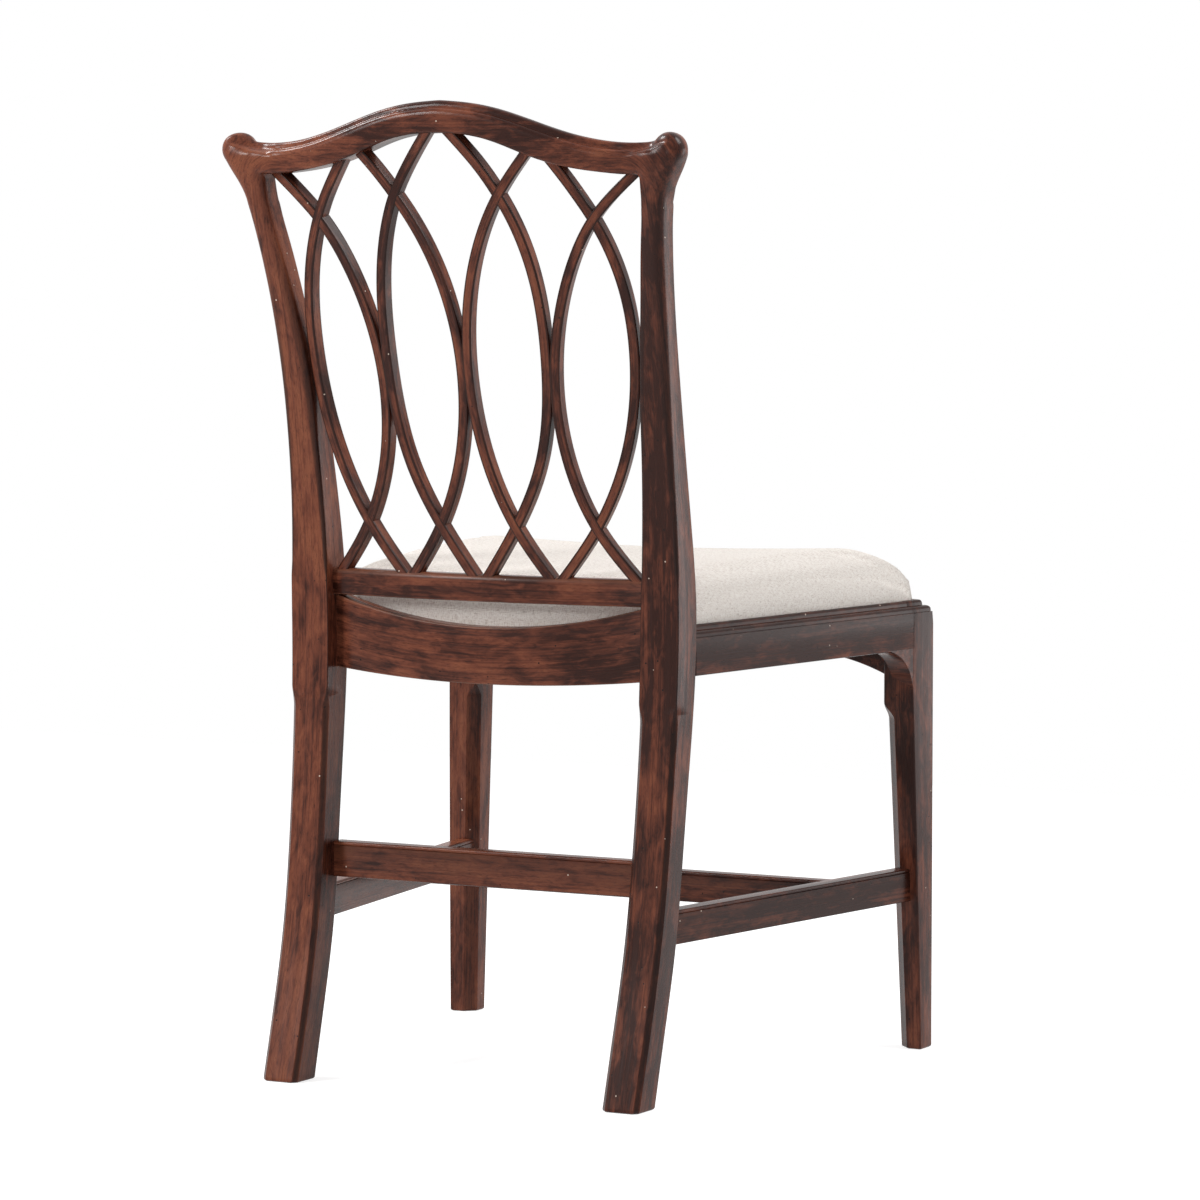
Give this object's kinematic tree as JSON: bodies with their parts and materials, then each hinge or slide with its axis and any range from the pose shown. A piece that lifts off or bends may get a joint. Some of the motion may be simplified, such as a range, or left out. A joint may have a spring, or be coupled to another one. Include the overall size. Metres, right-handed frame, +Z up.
{
  "type": "trellis back side chair",
  "caption": "Wooden dining side chair with a serpentine crest, an interlaced oval lattice back, swept rear legs, box stretchers and an upholstered drop-in seat.",
  "frame": {"origin": "on the floor, in the middle of the chair's footprint", "axes": "+Z up, the chair faces -Y and +X is the sitter's left"},
  "size_m": [0.568, 0.5448, 0.9848],
  "materials": {
    "mahogany": "polished dark stain",
    "plain_wood": "raw sawn",
    "screw_steel": "dull",
    "webbing": "coarse weave",
    "foam": "open cell",
    "linen": "plain heathered weave",
    "dust_cloth": "thin plain weave"
  },
  "bodies": {
    "frame": {"rear_leg_left": "mahogany", "rear_leg_right": "mahogany", "front_leg_left": "mahogany", "front_leg_right": "mahogany", "side_seat_rail_left": "mahogany", "side_seat_rail_right": "mahogany", "front_seat_rail": "mahogany", "rear_seat_rail": "mahogany", "shoe_rail": "mahogany", "crest_rail": "mahogany", "trellis_bar_1": "mahogany", "trellis_bar_2": "mahogany", "trellis_bar_3": "mahogany", "trellis_bar_4": "mahogany", "trellis_bar_5": "mahogany", "trellis_bar_6": "mahogany", "trellis_bar_7": "mahogany", "trellis_bar_8": "mahogany", "rear_stretcher": "mahogany", "side_stretcher_left": "mahogany", "side_stretcher_right": "mahogany", "medial_stretcher": "mahogany", "side_bracket_left": "mahogany", "side_bracket_right": "mahogany", "front_bracket_left": "mahogany", "front_bracket_right": "mahogany", "corner_block_1": "plain_wood", "corner_block_2": "plain_wood", "corner_block_3": "plain_wood", "corner_block_4": "plain_wood", "corner_block_screws": "screw_steel"},
    "seat": {"seat_frame_front": "plain_wood", "seat_frame_rear": "plain_wood", "seat_frame_left": "plain_wood", "seat_frame_right": "plain_wood", "seat_webbing": "webbing", "seat_pad": "foam", "seat_cover": "linen", "seat_dust_cloth": "dust_cloth"}
  },
  "joints": [
    {"name": "seat_lift", "type": "slide", "parent": "frame", "child": "seat", "axis": [0, 0, 1], "range_m": [0, 0.15]}
  ]
}
